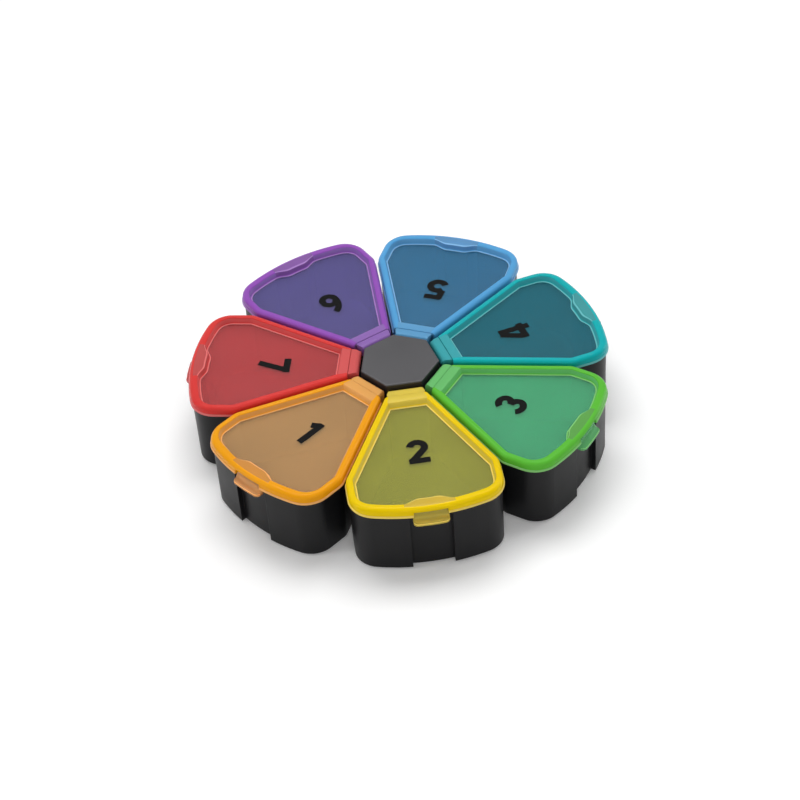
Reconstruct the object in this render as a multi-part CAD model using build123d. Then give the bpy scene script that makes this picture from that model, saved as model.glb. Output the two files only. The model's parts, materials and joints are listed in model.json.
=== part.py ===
"""Weekly pill box: seven lidded pods that plug round a seven-sided hub.

Millimetres, +Z up, origin on the hub's axis at the surface the box stands on.
One petal is drawn along +X and turned to its seven places; petal 2 faces -Y.
"""
import os
from math import asin, cos, pi, sin, sqrt, tan

from build123d import *

# Plan of one petal, taken at the bead round the foot of its lid
petal_count = 7
front_petal = 2
front_angle = -90.0       # where petal 2 points, in degrees
lid_reach = 78.0          # hub axis to the middle of the outer edge
outer_edge_radius = 70.0
shoulder_back = 20.4      # outer edge back to where the sides turn straight
corner_radius = 10.0
shoulder_radius = 6.0
least_radius = 0.5
neighbour_gap = 0.6       # between the beads of neighbouring lids

# Lid section, from the bead inwards
bead = 0.35
bead_height = 0.8
skirt_wall = 0.9
lip_clearance = 0.25      # each side of the pod's lip, inside the lid's channel
lip_wall = 0.9
step_wall = 0.9           # upright wall round the sunk window
front_margin = 0.7        # extra rim width along the outer edge
lid_height = 3.6
lid_lift = 0.3            # bead above the pod's ledge
roof = 1.0
rim_chamfer = 0.9
window_drop = 2.4
window_wall = 1.2
band_drop = 0.15          # flat band behind the hinge roll, below the rim
band_half = 7.0

# Bay in the rim, lip and pod wall behind the tab
bay_depth = 2.4
bay_half = 4.5
bay_run = 5.0
bay_radius = 5.0

# Tab and its catch
strip_half = 5.7
strip_wall = 0.9
strip_inset = 0.8         # tab strip behind the face of the skirt
slit = 0.4                # each side of the tab strip
tab_drop = 2.9            # below the bead
thumb_half = 6.3
thumb_flare = 1.5         # beyond the bead
thumb_wall = 1.0
thumb_corner = 1.6
thumb_rise = 2.3
catch_radius = 0.45
catch_half = 3.5
catch_drop = 0.9          # below the ledge
catch_gap = 0.3           # catch to the tab strip
hook_radius = 0.5
hook_gap = 0.15           # under the catch

# Pod
pod_height = 25.5         # floor to the ledge under the bead
bead_overhang = 0.9       # bead beyond the pod's wall
lip_top_gap = 0.4         # lip to the lid's roof
floor_wall = 1.6
base_chamfer = 1.0
panel_margin = 1.15       # thumb tab to the edge of the sunk panel
foot_rim = 5.0
foot_height = 0.6

# Hinge at the hub end
pin_radius = 0.75
pin_fit = 0.02            # in the pod's knuckle
pin_running = 0.05        # in the lid's ears
pin_recess = 0.2
knuckle_wall = 0.8
roll_clearance = 0.3
roll_wall = 0.75
ear_wall = 1.3
skirt_setback = 1.2       # pin axis to the start of the side skirts
side_play = 0.25
web_foot = 2.0            # pin axis to the foot of the web behind the knuckle
end_clearance = 1.0       # lid's roll to the end wall of the compartment

# Hub, cap and the plug-in tongues
cap_apothem = 13.4
cap_gap = 1.1             # cap to the lids' rolls
cap_rise = 0.9            # cap above the rims
cap_wall = 1.6
cap_edge_radius = 0.5
dock_gap = 0.3
hub_wall = 2.2
hub_floor = 2.0
boss_radius = 6.0
peg_radius = 4.0
peg_length = 12.0
peg_fit = 0.05
peg_end_gap = 1.0
tongue_half = 3.4
tongue_height = 12.0
tongue_bottom = 6.0
tongue_length = 4.0
tongue_chamfer = 0.6
socket_clearance = 0.2
core_wall = 1.6
core_half = 3.2
core_height = 20.0

# Modelling values
overcut = 1.0             # how far a cut runs past the face it opens
match = 0.01              # how near a corner lies to the place looked for
run_share = 0.9           # most of a straight side that its two rounded ends take up

# Levels and offsets that follow
half_step = pi / petal_count
lid_bottom = pod_height + lid_lift
rim_top = lid_bottom + lid_height
roof_bottom = rim_top - roof
window_top = rim_top - window_drop
lip_top = roof_bottom - lip_top_gap
tab_bottom = lid_bottom - tab_drop
skirt_in = bead + skirt_wall
lip_out = skirt_in + lip_clearance
strip_out = bead + strip_inset
strip_in = strip_out + strip_wall
panel_in = strip_in + catch_gap + catch_radius
panel_half = thumb_half + panel_margin
knuckle_radius = pin_radius + knuckle_wall
roll_bore = knuckle_radius + roll_clearance
roll_radius = roll_bore + roll_wall
hinge_x = cap_apothem + cap_gap + roll_radius
hinge_z = rim_top - roll_radius
hinge_seat = hinge_z - roll_radius - roll_clearance
inner_end = hinge_x - roll_radius
end_wall = hinge_x + roll_radius + end_clearance
skirt_start = hinge_x + skirt_setback
window_start = end_wall + lip_wall + lip_clearance + step_wall
catch_z = pod_height - catch_drop
hook_z = catch_z - catch_radius - hook_gap - hook_radius
hub_apothem = inner_end - dock_gap
hub_top = hinge_seat
cap_top = rim_top + cap_rise
mouth_half = bay_half + 2 * bay_run
bulge = 1 - sqrt(0.5)     # middle of a quarter arc, as a share of its legs


def side_at(x, inset):
    """Half width of the wedge that a petal may fill at radius x, moved in by inset."""
    return (x * sin(half_step) - neighbour_gap / 2 - inset) / cos(half_step)


half_width = side_at(lid_reach - shoulder_back, 0)
ear_half = side_at(inner_end, bead)
knuckle_half = ear_half - ear_wall - side_play
pin_half = ear_half - pin_recess


def petal(inset, inner, front=0.0):
    """Plan of a petal moved in by inset, cut off straight at the hub end."""
    width = half_width - inset
    bend = (width * cos(half_step) + neighbour_gap / 2 + inset) / sin(half_step)
    reach = lid_reach - inset - front
    radius = outer_edge_radius - inset - front
    corner = reach - radius + sqrt(radius**2 - width**2)
    inner_half = side_at(inner, inset)
    sides = Polyline(
        (corner, width), (bend, width), (inner, inner_half),
        (inner, -inner_half), (bend, -width), (corner, -width),
    )
    edge = ThreePointArc((corner, -width), (reach, 0), (corner, width))
    plan = make_face([sides, edge])
    shoulder_round = max(shoulder_radius - inset, least_radius)
    corner_round = max(corner_radius - inset, least_radius)
    corner_turn = pi / 2 - asin(width / radius)
    legs = shoulder_round * tan(half_step / 2) + corner_round * tan(corner_turn / 2)
    ease = min(1, run_share * (corner - bend) / legs)
    shoulders = [v for v in plan.vertices() if abs(v.X - bend) < match]
    plan = fillet(shoulders, ease * shoulder_round)
    corners = [v for v in plan.vertices() if abs(v.X - corner) < match]
    return fillet(corners, ease * corner_round)


def lip_plan():
    """Outside of the pod's lip: a petal with a bay in its outer edge behind the tab."""
    bottom = lid_reach - lip_out - front_margin - bay_depth
    mouth = bottom + 2 * bay_depth
    bay = Polyline(
        (bottom, -bay_half), (bottom, bay_half), (mouth, mouth_half), (mouth, -mouth_half),
        close=True,
    )
    return petal(lip_out, end_wall, front_margin) - make_face(bay)


def narrowed(plan, inset):
    return offset(plan, -inset, kind=Kind.INTERSECTION)


def eased_bay(plan):
    """The same plan with the four bends of its bay rounded."""
    bends = [v for v in plan.vertices() if abs(v.Y) < bay_half + bay_run and v.X > lid_reach - panel_half]
    return fillet(bends, bay_radius)


def at_height(z, plan):
    return Pos(0, 0, z) * plan


def across(outline, half):
    """Side outline, drawn in X and Z, made into a solid that reaches half to each side."""
    return extrude(Plane.XZ * outline, half, both=True)


def disc(radius):
    """Side view of a round part on the hinge axis."""
    return Pos(hinge_x, hinge_z) * Circle(radius)


def block(x_low, x_high, half, z_low, z_high):
    size = (x_high - x_low, 2 * half, z_high - z_low)
    return Pos(x_low, 0, z_low) * Box(*size, align=(Align.MIN, Align.CENTER, Align.MIN))


def heptagon(apothem):
    """Seven-sided plan with one flat facing +X."""
    return RegularPolygon(apothem, petal_count, major_radius=False, rotation=180 / petal_count)


outer_lip = lip_plan()
cavity_plan = narrowed(outer_lip, lip_wall)
step_plan = narrowed(cavity_plan, lip_clearance)
window_plan = eased_bay(narrowed(step_plan, step_wall))


def make_pod():
    """Cup with a stepped lip, a sunk front panel, a hinge knuckle and a plug-in tongue."""
    sunk = Pos(lid_reach, 0) * Rectangle(2 * (panel_in + overcut), 2 * panel_half)
    sunk -= petal(panel_in, inner_end)
    plan = petal(bead_overhang, inner_end) - sunk
    pod = extrude(plan, pod_height)
    pod = chamfer(pod.faces().sort_by(Axis.Z)[0].edges(), base_chamfer)
    pod += extrude(at_height(pod_height, outer_lip), lip_top - pod_height)
    pod -= extrude(at_height(floor_wall, cavity_plan), lip_top - floor_wall)
    pod -= block(0, end_wall, half_width, hinge_seat, lip_top + overcut)

    web = Polyline(
        (hinge_x, hinge_z), (end_wall + lip_wall / 2, hinge_z),
        (end_wall + lip_wall / 2, hinge_seat), (hinge_x + web_foot, hinge_seat),
        close=True,
    )
    pod += across(disc(knuckle_radius), knuckle_half) + across(make_face(web), knuckle_half)
    pod -= across(disc(pin_radius + pin_fit), ear_half)

    catch = Pos(lid_reach - panel_in, catch_z) * Circle(catch_radius)
    pod += across(catch, catch_half)

    tongue = block(inner_end - tongue_length, inner_end + core_wall / 2, tongue_half,
                   tongue_bottom, tongue_bottom + tongue_height)
    pod += chamfer(tongue.faces().sort_by(Axis.X)[0].edges(), tongue_chamfer)
    core_end = end_wall - core_wall / 2
    pod -= block(inner_end + core_wall, core_end, core_half, -overcut, core_height)
    foot_start = end_wall + foot_rim
    foot_end = lid_reach - panel_in - foot_rim
    foot_inset = bead_overhang + foot_rim
    foot_half = half_width - foot_inset
    foot_bend = (foot_half * cos(half_step) + neighbour_gap / 2 + foot_inset) / sin(half_step)
    foot = Polyline(
        (foot_start, -side_at(foot_start, foot_inset)), (foot_bend, -foot_half), (foot_end, -foot_half / 2),
        (foot_end, foot_half / 2), (foot_bend, foot_half), (foot_start, side_at(foot_start, foot_inset)),
        close=True,
    )
    return pod - extrude(make_face(foot), foot_height)


def make_tab():
    """Springy strip in a gap of the skirt, flared out to a thumb ledge, with a hook inside."""
    strip = Pos(lid_reach, 0) * Rectangle(2 * (strip_in + overcut), 2 * strip_half)
    strip &= petal(strip_out, inner_end) - petal(strip_in, inner_end)
    tab = extrude(at_height(tab_bottom, strip), roof_bottom + roof / 2 - tab_bottom)

    face_x = lid_reach - strip_out
    root_x = face_x - strip_wall / 2
    tip_x = lid_reach + thumb_flare
    ledge_z = tab_bottom + thumb_wall
    root_z = ledge_z + thumb_rise
    middle = (face_x + bulge * (tip_x - face_x), ledge_z + bulge * thumb_rise)
    hollow = ThreePointArc((face_x, root_z), middle, (tip_x, ledge_z))
    ledge = Polyline(
        (tip_x, ledge_z), (tip_x, tab_bottom), (root_x, tab_bottom), (root_x, root_z), (face_x, root_z),
    )
    thumb = across(make_face([hollow, ledge]), thumb_half)
    tip_corners = thumb.edges().filter_by(Axis.Z).group_by(Axis.X)[-1]
    tab += fillet(tip_corners, thumb_corner)
    hook = Pos(lid_reach - strip_in, hook_z) * Circle(hook_radius)
    return tab + across(hook, catch_half)


def make_lid():
    """Tinted lid: channelled rim, sunk window, rolled hinge end and a thumb tab."""
    lid = extrude(at_height(lid_bottom, petal(bead, inner_end)), lid_height)
    rim_edges = lid.faces().sort_by(Axis.Z)[-1].edges().sort_by(Axis.X)
    lid = chamfer(rim_edges[1:], rim_chamfer)
    lid += extrude(at_height(lid_bottom, petal(0, inner_end)), bead_height)
    lid -= extrude(at_height(lid_bottom, petal(skirt_in, inner_end - overcut)), lid_height - roof)

    window_bottom = window_top - window_wall
    lid += extrude(at_height(window_bottom, step_plan), roof_bottom + roof / 2 - window_bottom)
    lid -= extrude(at_height(window_top, window_plan), window_drop + overcut)

    gap = Pos(lid_reach, 0) * Rectangle(2 * (skirt_in + overcut), 2 * (strip_half + slit))
    gap -= petal(skirt_in, inner_end)
    lid -= extrude(at_height(lid_bottom, gap), lid_height - rim_chamfer)
    lid += make_tab()

    low = lid_bottom - overcut
    high = rim_top + overcut
    roll = across(disc(roll_radius), ear_half)
    roll_inside = across(disc(roll_bore), ear_half)
    lid -= block(0, hinge_x, half_width, low, high)
    lid -= block(0, skirt_start, half_width, low, high) - block(0, skirt_start, ear_half, low, high)
    lid -= block(hinge_x, window_start, band_half, rim_top - band_drop, high) - roll
    lid -= roll_inside
    lid += (roll - roll_inside) & block(0, hinge_x, ear_half, hinge_z, high)
    lid += roll - across(disc(roll_radius + overcut), ear_half - ear_wall)
    return lid - across(disc(pin_radius + pin_running), ear_half)


def make_hub():
    """Seven-sided cup with a socket in each side and a boss for the cap's peg."""
    hub = extrude(heptagon(hub_apothem), hub_top)
    hub -= extrude(at_height(hub_floor, heptagon(hub_apothem - hub_wall)), hub_top)
    hub += extrude(Circle(boss_radius), hub_top)
    bore_bottom = cap_top - cap_wall - peg_length - peg_end_gap
    hub -= extrude(at_height(bore_bottom, Circle(peg_radius + peg_fit)), hub_top)
    socket = block(hub_apothem - hub_wall - overcut, hub_apothem + overcut, tongue_half + socket_clearance,
                   tongue_bottom - socket_clearance, tongue_bottom + tongue_height + socket_clearance)
    for number in range(petal_count):
        hub -= Rot(0, 0, number * 360 / petal_count) * socket
    return hub


def make_cap():
    """Flat seven-sided cap, hollow below, with a peg that seats in the hub's boss."""
    cap = extrude(at_height(hub_top, heptagon(cap_apothem)), cap_top - hub_top)
    cap = fillet(cap.faces().sort_by(Axis.Z)[-1].edges(), cap_edge_radius)
    under = cap_top - cap_wall
    cap -= extrude(at_height(hub_top, heptagon(cap_apothem - cap_wall)), under - hub_top)
    return cap + extrude(at_height(under - peg_length, Circle(peg_radius)), peg_length)


os.makedirs("parts", exist_ok=True)
front = Rot(0, 0, front_angle)
export_step(front * make_hub(), "parts/hub_body.step")
export_step(front * make_cap(), "parts/hub_cap.step")
petal_pieces = {
    "pod": make_pod(),
    "lid": make_lid(),
    "hinge_pin": across(disc(pin_radius), pin_half),
}
for number in range(1, petal_count + 1):
    turn = Rot(0, 0, front_angle + (number - front_petal) * 360 / petal_count)
    for name, piece in petal_pieces.items():
        export_step(turn * piece, f"parts/{name}_{number}.step")
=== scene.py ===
"""Looks of the weekly pill box: satin black pods, tinted lids, printed numbers and a plain studio."""
import json
from math import asin, atan2, ceil, cos, pi, radians, sin, sqrt

import bmesh
import bpy
from mathutils import Matrix, Vector


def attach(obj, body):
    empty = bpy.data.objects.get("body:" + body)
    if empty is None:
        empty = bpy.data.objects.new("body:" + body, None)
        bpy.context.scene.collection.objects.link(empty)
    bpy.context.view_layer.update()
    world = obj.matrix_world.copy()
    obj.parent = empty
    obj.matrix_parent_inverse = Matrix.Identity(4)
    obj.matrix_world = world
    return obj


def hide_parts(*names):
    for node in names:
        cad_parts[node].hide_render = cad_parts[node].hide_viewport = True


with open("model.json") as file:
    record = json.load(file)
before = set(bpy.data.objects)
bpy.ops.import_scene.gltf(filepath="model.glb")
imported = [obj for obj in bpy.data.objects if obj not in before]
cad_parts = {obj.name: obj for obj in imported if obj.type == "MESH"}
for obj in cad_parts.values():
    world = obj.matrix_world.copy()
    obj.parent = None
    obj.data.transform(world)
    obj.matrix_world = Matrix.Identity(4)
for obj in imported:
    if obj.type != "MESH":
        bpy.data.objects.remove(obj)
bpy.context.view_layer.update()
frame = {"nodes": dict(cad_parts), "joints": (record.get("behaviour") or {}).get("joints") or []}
MM = 0.001
PETALS = range(1, 8)
HINGES = {joint["child"]: joint for joint in frame["joints"] if joint["type"] == "hinge"}

# Plan of a petal in millimetres, as in the solids
REACH = 78.0                  # hub axis to the middle of a lid's outer edge
OUTER_RADIUS = 70.0
HALF_WIDTH = 27.4
CORNER_RADIUS = 10.0
SHOULDER_RADIUS = 6.0
HALF_GAP = 0.3                # bead to the line between two lids
HALF_STEP = pi / len(PETALS)  # half the angle from petal to petal

# Section of a lid: heights, places along the petal from the hub's axis, and insets from the bead
LID_BOTTOM = 25.8
WINDOW_TOP = 27.0
ROOF_BOTTOM = 28.4
RIM_TOP = 29.4
SKIRT_START = 18.3
CHANNEL_START = 21.85
WINDOW_START = 22.75
SKIRT_FACE = 0.4
CHANNEL_OUTSIDE = 1.25        # channel under the rim for the pod's lip
CHANNEL_INSIDE = 2.65
RIM_ROUND = 1.5               # radius of the rim's outer edge
RIM_LEAN = 0.15               # the rim's crest starts that much farther from the hub than the skirt
FRONT_MARGIN = 0.7            # extra width of the rim along the outer edge

# Bay in the window behind the tab
BAY_DEPTH = 2.4
BAY_FLAT = 3.4                # half width of its bottom
BAY_MOUTH = 10.0              # half width of its mouth

# Tab in a gap of the skirt: distances past the lid's outer edge, heights and half widths
GAP_FACE = -0.45
GAP_BACK = -1.12
GAP_HALF = 6.1
GAP_TOP = 28.0
TAB_FACE = -1.15
TAB_BACK = -2.05
TAB_TIP = 1.5
TAB_HALF = 5.7
FLARE_TOP = 26.2
LEDGE_BACK = -1.6
LEDGE_TOP = 23.9
LEDGE_BOTTOM = 22.9
LEDGE_SOFT = 0.2              # chamfer on the ledge's edges
LEDGE_STRAIGHT = 4.7          # half width to where the ledge's round corners start
LEDGE_HALF = 6.3
HOOK_REACH = 0.5
HOOK_HALF = 3.4
HOOK_Z = 23.5

# Hinge end: the pin's axis, and sizes about it
HINGE_U = 17.1
HINGE_Z = 26.8
EAR_RADIUS = 2.6
EAR_INSIDE = 4.95             # half width between the ears
EAR_OUTSIDE = 6.9
EAR_ROOM = 0.45               # ears to the bead's line
EAR_TOP_ROOM = 0.85           # the same where the ears' top corners are cut back
EAR_CORNER = 2.0              # height above the axis from where they are
KNUCKLE_ROOM = 1.85           # inner radius over the pod's knuckle

# Mesh
HAIR = 0.01                   # keeps faces apart that would fall together
SHARP_ANGLE = radians(32)
FRONT_STATIONS = (0, 1.2, 2.4, 3.6, 4.6, 5.4, 5.9, GAP_HALF, 6.8, 7.6, 8.4, 9.2, 10, 11.5, 13.5, 16, 18.5)
TAB_STATIONS = (0, 2, HOOK_HALF, 3.6, LEDGE_STRAIGHT, 5.2, 5.6, TAB_HALF, 5.72, 5.95, 6.15, 6.27, LEDGE_HALF)
HUB_STATIONS = (0.86, 0.5, 0.17)  # shares of the half width at the hub end
CORNER_STEPS = 8
SHOULDER_STEPS = 5
SIDE_STEPS = 8
RIM_STEPS = 5
FLARE_STEPS = 7
ROLL_STEP = 30                # degrees

# Parts of a lid with a look of their own
BAND_END = 22.3               # hub axis to the end of the thin band at the hinge
CLEAR_HALF = 8.6              # half width of the clear part of the rim beside the bay
CLEAR_INSETS = (2.0, 8.0)     # its insets from the outer edge
CLEAR_CREST = (29.1, 29.3)    # its painted highlight lies between these heights
LEDGE_LINE = LEDGE_BOTTOM + LEDGE_SOFT + 2 * HAIR                # the ledge gets a painted highlight below this height
LEDGE_CREST = (LEDGE_TOP - LEDGE_SOFT - HAIR, LEDGE_TOP + HAIR)  # and between these

# Looks of a lid's parts: share of the window's tint, share of white, how clear and how rough they are
LOOKS = {
    "rim": (0, 0, 0.20, 0.18),
    # edge: paler and less clear than the rim, a painted highlight along the skirt's bead, the window's foot,
    # the rim's crest by the bay and the thumb ledge
    "edge": (0, 0.16, 0.10, 0.20),
    "window": (1, 0, 0.84, 0.05),
    "band": (0.25, 0.05, 0.34, 0.14),
    "bay": (0, 0.10, 0.52, 0.12),
    "tab": (0.5, 0.06, 0.66, 0.12),
}
SLOTS = tuple(LOOKS)

# Tints of the lids: rim, then window
TINTS = {
    1: ((1.000, 0.420, 0.008), (1.000, 0.700, 0.370)),
    2: ((1.000, 0.710, 0.002), (0.780, 0.780, 0.210)),
    3: ((0.130, 0.590, 0.050), (0.270, 0.900, 0.550)),
    4: ((0.008, 0.490, 0.520), (0.045, 0.430, 0.540)),
    5: ((0.110, 0.420, 0.780), (0.130, 0.480, 0.760)),
    6: ((0.340, 0.100, 0.540), (0.340, 0.300, 0.700)),
    7: ((0.800, 0.055, 0.050), (1.000, 0.220, 0.230)),
}
WHITE = (1, 1, 1)


# Shader helpers

NOISE_RANGE = (0.3, 0.7)      # where most of a noise's values lie


def shader(name):
    """A new material's node tree, empty but for its output."""
    material = bpy.data.materials.new(name)
    material.use_nodes = True
    tree = material.node_tree
    tree.nodes.clear()
    tree.nodes.new("ShaderNodeOutputMaterial")
    return material, tree


def add(tree, kind, inputs=None, **settings):
    """Adds a node. An input's value is a socket to link or a plain value."""
    made = tree.nodes.new("ShaderNode" + kind)
    for key, value in settings.items():
        setattr(made, key, value)
    for key, value in (inputs or {}).items():
        if isinstance(value, bpy.types.NodeSocket):
            tree.links.new(value, made.inputs[key])
        else:
            made.inputs[key].default_value = value
    return made


def show(tree, socket):
    tree.links.new(socket, tree.nodes["Material Output"].inputs["Surface"])


def local_noise(tree, scale, detail):
    """Noise fixed to the piece, so that it moves with it."""
    place = add(tree, "TexCoord").outputs["Object"]
    return add(tree, "TexNoise", {"Vector": place, "Scale": scale, "Detail": detail}).outputs["Fac"]


def rescale(tree, value, source, target):
    """Maps a value from one range to another."""
    return add(tree, "MapRange", {
        "Value": value,
        "From Min": source[0],
        "From Max": source[1],
        "To Min": target[0],
        "To Max": target[1],
    }).outputs["Result"]


def blend(tree, fac, dark, light):
    mix = add(tree, "Mix", data_type="RGBA")
    tree.links.new(fac, mix.inputs["Factor"])
    mix.inputs["A"].default_value = (*dark, 1)
    mix.inputs["B"].default_value = (*light, 1)
    return mix.outputs["Result"]


def between(first, second, share):
    """A colour that goes from the first to the second by share."""
    return tuple(a + share * (b - a) for a, b in zip(first, second))


# Moulded plastic of the pods and the hub

MOULD_CLOUD = 60              # scale of the uneven sheen
MOULD_GRAIN = 5200            # scale of the spark-eroded grain
MOULD_GRAIN_STRENGTH = 0.05
MOULD_GRAIN_HEIGHT = 0.04 * MM
MOULD_EDGE = 0.4 * MM
MOULD_EDGE_SAMPLES = 6
POD_COLORS = ((0.0045, 0.0045, 0.0051), (0.0070, 0.0070, 0.0078))
POD_ROUGH = (0.36, 0.46)
POD_GLOSS = 0.18
CAP_COLORS = ((0.014, 0.013, 0.017), (0.018, 0.017, 0.021))
CAP_ROUGH = (0.32, 0.42)
CAP_GLOSS = 0.58


def moulded_plastic(name, colors, rough, gloss):
    """Opaque satin plastic: a fine grain, soft edges and a little uneven sheen."""
    material, tree = shader(name)
    cloud = local_noise(tree, MOULD_CLOUD, detail=3)
    soft_edge = add(tree, "Bevel", {"Radius": MOULD_EDGE}, samples=MOULD_EDGE_SAMPLES)
    bump = add(tree, "Bump", {
        "Strength": MOULD_GRAIN_STRENGTH,
        "Distance": MOULD_GRAIN_HEIGHT,
        "Height": local_noise(tree, MOULD_GRAIN, detail=2),
        "Normal": soft_edge.outputs["Normal"],
    })
    principled = add(tree, "BsdfPrincipled", {
        "Base Color": blend(tree, rescale(tree, cloud, NOISE_RANGE, (0, 1)), *colors),
        "Roughness": rescale(tree, cloud, NOISE_RANGE, rough),
        "Normal": bump.outputs["Normal"],
        "Specular IOR Level": gloss,
    })
    show(tree, principled.outputs["BSDF"])
    return material


# Tinted plastic of the lids

TINT_CLOUD = 45               # scale of the uneven tint
TINT_DARK = 0.9               # darkest share of the tint
TINT_ROUGH_SPREAD = 0.06
TINT_IOR = 1.46
TINT_GLOSS = 0.08
TINT_COAT = 0.08
TINT_COAT_ROUGH = 0.10
TINT_EDGE = 0.35 * MM
TINT_EDGE_SAMPLES = 4


def tinted_plastic(name, tint, clear, rough, lets_light_in):
    """Glossy see-through plastic with haze. A window lets the lamps light what is behind it."""
    material, tree = shader(name)
    cloud = local_noise(tree, TINT_CLOUD, detail=1)
    color = blend(tree, cloud, tuple(TINT_DARK * c for c in tint), tint)
    principled = add(tree, "BsdfPrincipled", {
        "Base Color": color,
        "Roughness": rescale(tree, cloud, (0, 1), (rough, rough + TINT_ROUGH_SPREAD)),
        "IOR": TINT_IOR,
        "Specular IOR Level": TINT_GLOSS,
        "Specular Tint": (*tint, 1),
        "Transmission Weight": clear,
        "Coat Weight": TINT_COAT,
        "Coat Roughness": TINT_COAT_ROUGH,
    })
    surface = principled.outputs["BSDF"]
    if lets_light_in:
        lamp_light = add(tree, "BsdfTransparent", {"Color": color}).outputs["BSDF"]
        from_lamp = add(tree, "LightPath").outputs["Is Shadow Ray"]
        surface = add(tree, "MixShader", {0: from_lamp, 1: surface, 2: lamp_light}).outputs["Shader"]
    else:
        soft_edge = add(tree, "Bevel", {"Radius": TINT_EDGE}, samples=TINT_EDGE_SAMPLES)
        tree.links.new(soft_edge.outputs["Normal"], principled.inputs["Normal"])
    show(tree, surface)
    return material


# Steel of the hinge pins and ink of the numbers

STEEL_MARKS = 4000
STEEL_COLORS = ((0.42, 0.42, 0.44), (0.58, 0.58, 0.60))
STEEL_ROUGH = (0.25, 0.40)
INK_CLOUD = 700
INK_COLORS = ((0.002, 0.002, 0.002), (0.004, 0.004, 0.004))
INK_ROUGH = (0.55, 0.65)
INK_GLOSS = 0.06


def drawn_wire(name):
    """Bright steel with fine marks."""
    material, tree = shader(name)
    marks = local_noise(tree, STEEL_MARKS, detail=2)
    principled = add(tree, "BsdfPrincipled", {
        "Base Color": blend(tree, marks, *STEEL_COLORS),
        "Roughness": rescale(tree, marks, NOISE_RANGE, STEEL_ROUGH),
        "Metallic": 1.0,
    })
    show(tree, principled.outputs["BSDF"])
    return material


def printing_ink(name):
    """Pad-printed black ink, slightly uneven."""
    material, tree = shader(name)
    cloud = local_noise(tree, INK_CLOUD, detail=3)
    principled = add(tree, "BsdfPrincipled", {
        "Base Color": blend(tree, cloud, *INK_COLORS),
        "Roughness": rescale(tree, cloud, NOISE_RANGE, INK_ROUGH),
        "Specular IOR Level": INK_GLOSS,
    })
    show(tree, principled.outputs["BSDF"])
    return material


# Pieces of the frame

def dress(node, material):
    piece = frame["nodes"][node]
    piece.data.materials.clear()
    piece.data.materials.append(material)


def dress_frame():
    black = moulded_plastic("pod_black", POD_COLORS, POD_ROUGH, POD_GLOSS)
    grey = moulded_plastic("cap_grey", CAP_COLORS, CAP_ROUGH, CAP_GLOSS)
    wire = drawn_wire("pin_steel")
    dress("hub_body", black)
    dress("hub_cap", grey)
    for number in PETALS:
        dress(f"pod_{number}", black)
        dress(f"hinge_pin_{number}", wire)
        dress(f"lid_{number}", grey)


def outward_angle(number):
    """Direction in which a petal points, seen from above."""
    x, y, _ = HINGES[f"lid_{number}"]["pos_m"]
    return atan2(y, x)


# Outline of a lid: u runs outwards from the hub's axis and v across the petal

def wedge_half(u, inset):
    """Half width of the wedge that a lid fills at distance u, moved in by inset."""
    return (u * sin(HALF_STEP) - HALF_GAP - inset) / cos(HALF_STEP)


def front_at(v):
    """Distance from the hub's axis to the outer edge."""
    return REACH - OUTER_RADIUS + sqrt(OUTER_RADIUS**2 - v**2)


def arc_stations(middle_u, middle_v, radius, first, last, steps, kind):
    """Stations along a round corner, with its ends in radians."""
    stations = []
    for step in range(steps + 1):
        turn = first + (last - first) * step / steps
        place = (middle_u + radius * cos(turn), middle_v + radius * sin(turn))
        stations.append((*place, cos(turn), sin(turn), kind))
    return stations


def half_outline():
    """Stations on one half of the outline at the bead: place, outward normal and kind.

    On the side and at the hub end, a share of the way stands for the place.
    """
    stations = []
    for v in FRONT_STATIONS:
        turn = asin(v / OUTER_RADIUS)
        stations.append((front_at(v), v, cos(turn), sin(turn), "front"))
    middle_v = HALF_WIDTH - CORNER_RADIUS
    middle_u = REACH - OUTER_RADIUS + sqrt((OUTER_RADIUS - CORNER_RADIUS)**2 - middle_v**2)
    first = asin(middle_v / (OUTER_RADIUS - CORNER_RADIUS))
    stations += arc_stations(middle_u, middle_v, CORNER_RADIUS, first, pi / 2, CORNER_STEPS, "corner")
    middle_v = HALF_WIDTH - SHOULDER_RADIUS
    middle_u = (SHOULDER_RADIUS + HALF_GAP + middle_v * cos(HALF_STEP)) / sin(HALF_STEP)
    last = pi / 2 + HALF_STEP
    stations += arc_stations(middle_u, middle_v, SHOULDER_RADIUS, pi / 2, last, SHOULDER_STEPS, "shoulder")
    for step in range(1, SIDE_STEPS + 1):
        stations.append((step / SIDE_STEPS, 0, -sin(HALF_STEP), cos(HALF_STEP), "side"))
    for share in HUB_STATIONS:
        stations.append((share, 0, -1, 0, "hub"))
    return stations


STATIONS = half_outline()
SIDE_START = [station[0] for station in STATIONS if station[-1] == "shoulder"][-1]


def bay(v):
    """Share of the bay's depth at half width v, smooth at both ends."""
    share = min(max((v - BAY_FLAT) / (BAY_MOUTH - BAY_FLAT), 0), 1)
    return 0.5 + 0.5 * cos(pi * share)


def rim_margin(v, out_u, kind):
    """Extra width of the rim along the outer edge, with the bay."""
    margin = FRONT_MARGIN * max(out_u, 0)**2
    return margin + BAY_DEPTH * bay(v) if kind == "front" else margin


def mirrored(points):
    return [(u, -v, z) for u, v, z in points]


# Shell of a lid: each row's look is that of the strip from it to the next row

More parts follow.
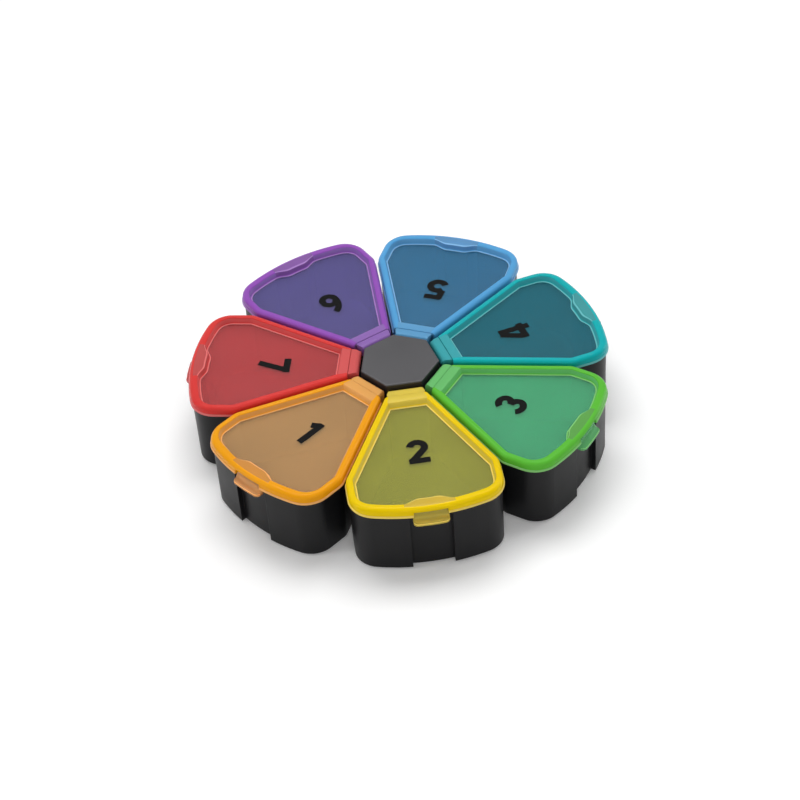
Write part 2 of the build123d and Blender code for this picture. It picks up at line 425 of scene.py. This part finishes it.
SKIRT = (                     # inset, height above the lid's bottom, look
    (CHANNEL_OUTSIDE, 0.05, "rim"),
    # the bead: these rows carry the edge look, a painted highlight along the skirt's bottom
    (0.12, 0.00, "edge"),
    (0.00, 0.15, "edge"),
    (0.00, 0.55, "edge"),
    (0.12, 0.75, "edge"),
    (0.38, 0.85, "rim"),
    (SKIRT_FACE, 1.50, "rim"),
)
WALL = (                      # inset, height, distance from the window's start, share of the margin, look
    (2.45, RIM_TOP, -1.25, 0.85, "rim"),
    (2.75, RIM_TOP - 0.08, -0.95, 0.90, "rim"),
    (2.95, RIM_TOP - 0.35, -0.70, 1, "band"),
    (3.40, WINDOW_TOP + 0.45, -0.20, 1, "rim"),
    # the window's foot: these rows carry the edge look, a painted highlight line
    (3.50, WINDOW_TOP + 0.18, -0.05, 1, "edge"),
    (3.70, WINDOW_TOP + 0.03, 0.15, 1, "edge"),
    (3.95, WINDOW_TOP, 0.40, 1, "window"),
)


def ring(inset, height, start, margin_share, skirt):
    """Points of one closed ring. A skirt ring stays above the tab's gap and the pod at the hub."""
    half = []
    raised = max(height, GAP_TOP) if skirt else height
    for u, v, out_u, out_v, kind in STATIONS:
        if kind == "side":
            first = SIDE_START - inset * out_u
            place = first + (start - first) * u
            half.append((place, wedge_half(place, inset), height))
        elif kind == "hub":
            half.append((start, u * wedge_half(start, inset), raised))
        elif skirt and kind == "front" and v < GAP_HALF:
            past = GAP_BACK if inset == CHANNEL_OUTSIDE else GAP_FACE
            half.append((u + past * out_u, v + past * out_v, raised))
        else:
            depth = inset + margin_share * rim_margin(v, out_u, kind)
            half.append((u - depth * out_u, v - depth * out_v, height))
    return half + mirrored(point for point in reversed(half) if point[1] > 0)


def shell_section():
    """Section of a lid from the window's underside round the skirt to the window's top.

    Each row has the values of a ring, and its look.
    """
    rows = [
        (CHANNEL_INSIDE, LID_BOTTOM, CHANNEL_START, 1, False, "rim"),
        (CHANNEL_INSIDE, ROOF_BOTTOM, CHANNEL_START, 1, False, "rim"),
        (CHANNEL_OUTSIDE, ROOF_BOTTOM, SKIRT_START, 0, False, "rim"),
    ]
    for inset, rise, look in SKIRT:
        rows.append((inset, LID_BOTTOM + rise, SKIRT_START, 0, True, look))
    for step in range(RIM_STEPS + 1):
        turn = pi / 2 * step / RIM_STEPS
        inset = SKIRT_FACE + RIM_ROUND * (1 - cos(turn))
        height = RIM_TOP - RIM_ROUND * (1 - sin(turn))
        rows.append((inset, height, SKIRT_START + RIM_LEAN * sin(turn), 0, False, "rim"))
    for inset, height, past, margin_share, look in WALL:
        rows.append((inset, height, WINDOW_START + past, margin_share, False, look))
    return rows


# Tab of a lid

HOOK_SHAPE = ((0, -0.5), (0.7, -0.35), (1, 0), (0.7, 0.35), (0, 0.5))  # share of its reach, and rise


def flare(top):
    """Outside of the tab, from its top down the flare to the ledge's underside."""
    points = [(TAB_FACE, top), (TAB_FACE, FLARE_TOP - HAIR)]
    for step in range(1, FLARE_STEPS):
        turn = pi / 2 * step / FLARE_STEPS
        past = TAB_TIP - (TAB_TIP - TAB_FACE) * cos(turn)
        points.append((past, FLARE_TOP - (FLARE_TOP - LEDGE_TOP) * sin(turn)))
    points += [(TAB_TIP - LEDGE_SOFT, LEDGE_TOP), (TAB_TIP, LEDGE_TOP - LEDGE_SOFT)]
    points += [(TAB_TIP, LEDGE_BOTTOM + LEDGE_SOFT), (TAB_TIP - LEDGE_SOFT, LEDGE_BOTTOM)]
    return points


def tab_slices():
    """Slices of the tab: a strip in the skirt's gap, flared to a thumb ledge, with a hook behind it."""
    slices = []
    corner = LEDGE_HALF - LEDGE_STRAIGHT
    for half in TAB_STATIONS:
        beside_strip = half > TAB_HALF
        top = FLARE_TOP if beside_strip else ROOF_BOTTOM - 2 * HAIR
        back = LEDGE_BACK if beside_strip else TAB_BACK
        hook = HOOK_REACH if half <= HOOK_HALF else 0
        cut = corner - sqrt(corner**2 - max(half - LEDGE_STRAIGHT, 0)**2)
        share = 1 - cut / (TAB_TIP - TAB_FACE)
        outline = [(TAB_FACE + share * (past - TAB_FACE), z) for past, z in flare(top)]
        outline.append((back, LEDGE_BOTTOM))
        outline += [(back - hook * reach, HOOK_Z + rise) for reach, rise in HOOK_SHAPE]
        outline.append((back, top))
        slices.append([(front_at(half) + past, half, z) for past, z in outline])
    return [mirrored(points) for points in reversed(slices[1:])] + slices


# Hinge end of a lid: outlines about the pin's axis, from the window over the top to the hub and back below

ROLL_TOP = [(1.18, 2.45), (0.2, 2.5), (-0.9, 2.5), (-1.7, 2.35), (-2.3, 1.85), (-2.6, 1.1), (-2.6, 0)]
ROLL_LIP = [(-2.5, -0.6), (-1.9, -0.6)]
ROLL_END = [(0.55, 1.7), (1.18, 1.6)]
EAR_END = [(2.2, 1.35), (1.18, 1.6)]


def hinge_arc(radius, first, last):
    """Points on an arc about the pin's axis, with its ends in degrees."""
    step = ROLL_STEP if last > first else -ROLL_STEP
    turns = [radians(angle) for angle in range(first, last + step, step)]
    return [(radius * cos(turn), radius * sin(turn)) for turn in turns]


def ear_half(along, rise):
    """Half width over the ears, which stay clear of the next lid as it opens."""
    room = EAR_TOP_ROOM if rise > EAR_CORNER else EAR_ROOM
    return min(wedge_half(HINGE_U + along, room), EAR_OUTSIDE)


def roll_slices():
    """Slices of the hinge end: a roll over the pod's knuckle between two round ears."""
    ear = ROLL_TOP + hinge_arc(EAR_RADIUS, 210, 360) + EAR_END
    roll = ROLL_TOP + ROLL_LIP + hinge_arc(KNUCKLE_ROOM, 180, 90) + ROLL_END
    slices = [
        [(HINGE_U + along, ear_half(along, rise), HINGE_Z + rise) for along, rise in ear],
        [(HINGE_U + along, EAR_INSIDE + HAIR, HINGE_Z + rise) for along, rise in ear],
        [(HINGE_U + along, EAR_INSIDE, HINGE_Z + rise) for along, rise in roll],
    ]
    return [mirrored(points) for points in slices] + slices[::-1]


# Lids

def loft(mesh, loops, looks, end_look):
    """Joins loops of points to a closed skin, with a flat face on the first and the last."""
    corners = [[mesh.verts.new(tuple(MM * c for c in point)) for point in loop] for loop in loops]
    count = len(corners[0])
    for first, second, look in zip(corners, corners[1:], looks):
        for i in range(count):
            j = (i + 1) % count
            face = mesh.faces.new((first[i], first[j], second[j], second[i]))
            face.material_index = SLOTS.index(look)
    for loop in (corners[0][::-1], corners[-1]):
        mesh.faces.new(loop).material_index = SLOTS.index(end_look)


def mark_shell(mesh):
    """Marks the thin band at the hinge, and the clear part of the rim beside the bay with a painted highlight
    on its crest.
    """
    for face in mesh.faces:
        is_rim = face.material_index == SLOTS.index("rim")
        if is_rim and max(corner.co.x for corner in face.verts) < BAND_END * MM:
            face.material_index = SLOTS.index("band")
        u, v, z = face.calc_center_median() / MM
        in_clear_part = CLEAR_INSETS[0] < front_at(v) - u < CLEAR_INSETS[1] and abs(v) < CLEAR_HALF
        if in_clear_part and z > GAP_TOP:
            on_crest = CLEAR_CREST[0] < z < CLEAR_CREST[1]
            face.material_index = SLOTS.index("edge" if on_crest else "bay")


def mark_ledge(mesh):
    """Marks the edges of the thumb ledge that get a painted highlight."""
    for face in mesh.faces:
        heights = [corner.co.z / MM for corner in face.verts]
        on_crest = LEDGE_CREST[0] < min(heights) and max(heights) < LEDGE_CREST[1]
        if on_crest or max(heights) < LEDGE_LINE:
            face.material_index = SLOTS.index("edge")


def lid_mesh(name):
    mesh = bmesh.new()
    section = shell_section()
    loft(mesh, [ring(*row[:-1]) for row in section], [row[-1] for row in section], "window")
    mark_shell(mesh)
    tab = tab_slices()
    loft(mesh, tab, ["tab"] * len(tab), "tab")
    mark_ledge(mesh)
    roll = roll_slices()
    loft(mesh, roll, ["band"] * len(roll), "band")
    bmesh.ops.recalc_face_normals(mesh, faces=mesh.faces)
    for face in mesh.faces:
        face.smooth = True
    for edge in mesh.edges:
        edge.smooth = edge.calc_face_angle(0) < SHARP_ANGLE
    made = bpy.data.meshes.new(name)
    mesh.to_mesh(made)
    mesh.free()
    return made


def make_lids():
    for number in PETALS:
        mesh = lid_mesh(f"tinted_lid_{number}")
        rim, window = TINTS[number]
        for look, (window_share, white_share, clear, rough) in LOOKS.items():
            tint = between(between(rim, window, window_share), WHITE, white_share)
            name = f"lid_{number}_tint" if look == "rim" else f"lid_{number}_tint_{look}"
            mesh.materials.append(tinted_plastic(name, tint, clear, rough, look == "window"))
        piece = bpy.data.objects.new(f"tinted_lid_{number}", mesh)
        bpy.context.scene.collection.objects.link(piece)
        mesh.transform(Matrix.Rotation(outward_angle(number), 4, "Z"))
        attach(piece, f"lid_{number}")
        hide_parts(f"lid_{number}")


# Printed numbers: bold strokes with square ends, in millimetres about a number's middle

NUMBER_RADIUS = 46.5          # hub axis to the middle of a number
STROKE_HALF = 1.3             # half the width of a stroke
INK_DEPTH = 0.02              # each stroke lies that much higher than the one before
ARC_STEP = 12                 # degrees from point to point on a round stroke


def bow(middle, radii, first, last):
    """Points along an arc of an ellipse, with its ends in degrees."""
    count = ceil(abs(last - first) / ARC_STEP)
    turns = [radians(first + (last - first) * step / count) for step in range(count + 1)]
    return [(middle[0] + radii[0] * cos(turn), middle[1] + radii[1] * sin(turn)) for turn in turns]


NUMBERS = {
    1: [[(0.5, 6), (0.5, -6)], [(-2.5, 3.1), (0.5, 4.9)]],
    2: [bow((0, 2.2), (2.6, 2.5), 172, -35) + [(-2.2, -4.2)], [(-3.8, -4.7), (3.8, -4.7)]],
    3: [bow((-0.1, 2.45), (2.5, 2.25), 160, -90), bow((-0.1, -2.25), (2.8, 2.45), 90, -160)],
    4: [[(0.7, 5.8), (-3.2, -1.9)], [(-4.3, -2.7), (4.2, -2.7)], [(1.9, 6), (1.9, -6)]],
    5: [[(-3.2, 4.7), (3.4, 4.7)], [(-2.3, 5.4), (-2.5, 0.2)], bow((-0.2, -2.0), (2.9, 2.7), 140, -155)],
    6: [bow((0, -2.0), (2.6, 2.7), 0, 360), bow((2.6, -2.0), (5.2, 7.2), 180, 104)],
    7: [[(-3.8, 4.7), (3.8, 4.7)], [(2.6, 5.0), (-1.3, -6)]],
}


def add_stroke(mesh, line, depth):
    """A thin slab along a line, mitred at its bends."""
    line = [Vector(point) for point in line]
    ways = [(end - start).normalized() for start, end in zip(line, line[1:])]
    rows = []
    for point, before, after in zip(line, ways[:1] + ways, ways + ways[-1:]):
        middle = (before + after).normalized()
        side = Vector((-middle.y, middle.x)) * STROKE_HALF / middle.dot(after)
        left, right = point + side, point - side
        section = ((*left, 0), (*right, 0), (*right, depth), (*left, depth))
        rows.append([mesh.verts.new(tuple(MM * c for c in corner)) for corner in section])
    for first, second in zip(rows, rows[1:]):
        for i in range(len(first)):
            mesh.faces.new((first[i], first[i - 1], second[i - 1], second[i]))
    mesh.faces.new(rows[0])
    mesh.faces.new(rows[-1][::-1])


def print_numbers():
    ink = printing_ink("number_ink")
    for number in PETALS:
        made = bmesh.new()
        for layer, line in enumerate(NUMBERS[number], start=1):
            add_stroke(made, line, layer * INK_DEPTH)
        bmesh.ops.recalc_face_normals(made, faces=made.faces)
        mesh = bpy.data.meshes.new(f"number_{number}")
        made.to_mesh(mesh)
        made.free()
        mesh.materials.append(ink)
        upright = Matrix.Rotation(outward_angle(number) + pi / 2, 4, "Z")
        mesh.transform(upright @ Matrix.Translation((0, -NUMBER_RADIUS * MM, WINDOW_TOP * MM)))
        piece = bpy.data.objects.new(f"number_{number}", mesh)
        bpy.context.scene.collection.objects.link(piece)
        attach(piece, f"lid_{number}")


# Studio, in metres and watts

WORLD_LIGHT = 0.34
FLOOR_HALF = 6
FLOOR_SEGMENTS = 8
FLOOR_CLOUD = 3
PAPER_COLORS = ((0.80, 0.80, 0.80), (0.83, 0.83, 0.83))
WHITE_COLORS = ((0.98, 0.98, 0.98), (1.00, 1.00, 1.00))
NEAR_GLOW = 0.07
SHADOW_REACH = 0.16           # hub axis to where the floor starts to fade to plain white
WHITE_FROM = 0.50             # hub axis to where it is plain white
LAMP_AIM = (0, 0, 0.01)
LAMPS = {                     # place, size and power
    "top_softbox": ((0.0, 0.38, 1.0), (0.9, 0.6), 7.4),
    "front_fill": ((0.05, -0.9, 0.4), (0.9, 0.4), 2.2),
    "left_strip": ((-0.8, -0.1, 0.35), (0.25, 0.7), 1.6),
    "right_strip": ((0.8, 0.25, 0.35), (0.25, 0.7), 1.6),
}


def seen(tree):
    """Whether a ray comes from the camera, straight or by way of gloss or see-through plastic."""
    path = add(tree, "LightPath")
    value = path.outputs["Is Camera Ray"]
    for kind in ("Is Transmission Ray", "Is Glossy Ray"):
        value = add(tree, "Math", {0: value, 1: path.outputs[kind]}, operation="MAXIMUM").outputs["Value"]
    return value


def floor_paper():
    """Pale paper that looks white to the camera away from the object, and keeps its shadow."""
    material, tree = shader("floor_paper")
    cloud = local_noise(tree, FLOOR_CLOUD, detail=2)
    paper = add(tree, "BsdfDiffuse", {"Color": blend(tree, cloud, *PAPER_COLORS)}).outputs["BSDF"]
    white = add(tree, "BsdfDiffuse", {"Color": blend(tree, cloud, *WHITE_COLORS)}).outputs["BSDF"]
    glow = add(tree, "Emission", {"Color": (*WHITE, 1), "Strength": NEAR_GLOW}).outputs["Emission"]
    near = add(tree, "AddShader", {0: white, 1: glow}).outputs["Shader"]
    far = add(tree, "Emission", {"Color": (*WHITE, 1), "Strength": 1.0}).outputs["Emission"]
    place = add(tree, "TexCoord").outputs["Object"]
    distance = add(tree, "VectorMath", {0: place}, operation="LENGTH").outputs["Value"]
    away = add(tree, "MapRange", {"Value": distance, "From Min": SHADOW_REACH, "From Max": WHITE_FROM},
               interpolation_type="SMOOTHSTEP").outputs["Result"]
    surroundings = add(tree, "MixShader", {0: away, 1: near, 2: far}).outputs["Shader"]
    show(tree, add(tree, "MixShader", {0: seen(tree), 1: paper, 2: surroundings}).outputs["Shader"])
    return material


def add_floor():
    mesh = bpy.data.meshes.new("floor")
    made = bmesh.new()
    bmesh.ops.create_grid(made, x_segments=FLOOR_SEGMENTS, y_segments=FLOOR_SEGMENTS, size=FLOOR_HALF)
    made.to_mesh(mesh)
    made.free()
    floor = bpy.data.objects.new("floor", mesh)
    bpy.context.scene.collection.objects.link(floor)
    mesh.materials.append(floor_paper())


def add_lamp(name, position, size, power):
    lamp = bpy.data.lights.new(name, "AREA")
    lamp.shape = "RECTANGLE"
    lamp.size, lamp.size_y = size
    lamp.energy = power
    piece = bpy.data.objects.new(name, lamp)
    bpy.context.scene.collection.objects.link(piece)
    piece.location = position
    piece.rotation_euler = (Vector(LAMP_AIM) - Vector(position)).to_track_quat("-Z", "Y").to_euler()


def add_light():
    world = bpy.data.worlds.new("studio")
    bpy.context.scene.world = world
    world.use_nodes = True
    tree = world.node_tree
    background = tree.nodes["Background"]
    background.inputs["Color"].default_value = (*WHITE, 1)
    tree.links.new(rescale(tree, seen(tree), (0, 1), (WORLD_LIGHT, 1)), background.inputs["Strength"])
    for name, (position, size, power) in LAMPS.items():
        add_lamp(name, position, size, power)


# Camera, solved from the photograph's outlines

FRAME_PIXELS = 800
SENSOR = 36.0
FOCAL_PIXELS = 2018.7
ELEVATION = radians(42.294)
DIRECTION = radians(-95.09)       # where the camera stands, seen from above
ROLL = radians(4.556)
DISTANCE = 760.9 * MM
HUB_PIXEL = (403.70, 420.57)      # foot of the hub's axis in the frame
CLIP_START = 10 * MM


def add_camera():
    level_share = cos(ELEVATION)
    back = Vector((level_share * cos(DIRECTION), level_share * sin(DIRECTION), sin(ELEVATION)))
    level = Vector((-sin(DIRECTION), cos(DIRECTION), 0))
    upright = back.cross(level)
    right = level * cos(ROLL) - upright * sin(ROLL)
    above = level * sin(ROLL) + upright * cos(ROLL)
    lens = bpy.data.cameras.new("camera")
    lens.sensor_width = SENSOR
    lens.lens = FOCAL_PIXELS * SENSOR / FRAME_PIXELS
    lens.clip_start = CLIP_START
    middle = FRAME_PIXELS / 2
    lens.shift_x = (middle - HUB_PIXEL[0]) / FRAME_PIXELS
    lens.shift_y = (HUB_PIXEL[1] - middle) / FRAME_PIXELS
    camera = bpy.data.objects.new("camera", lens)
    bpy.context.scene.collection.objects.link(camera)
    turn = Matrix((right, above, back)).transposed().to_4x4()
    camera.matrix_world = Matrix.Translation(back * DISTANCE) @ turn
    bpy.context.scene.camera = camera


dress_frame()
make_lids()
print_numbers()
add_floor()
add_light()
add_camera()
bpy.context.scene.view_settings.view_transform = "Standard"
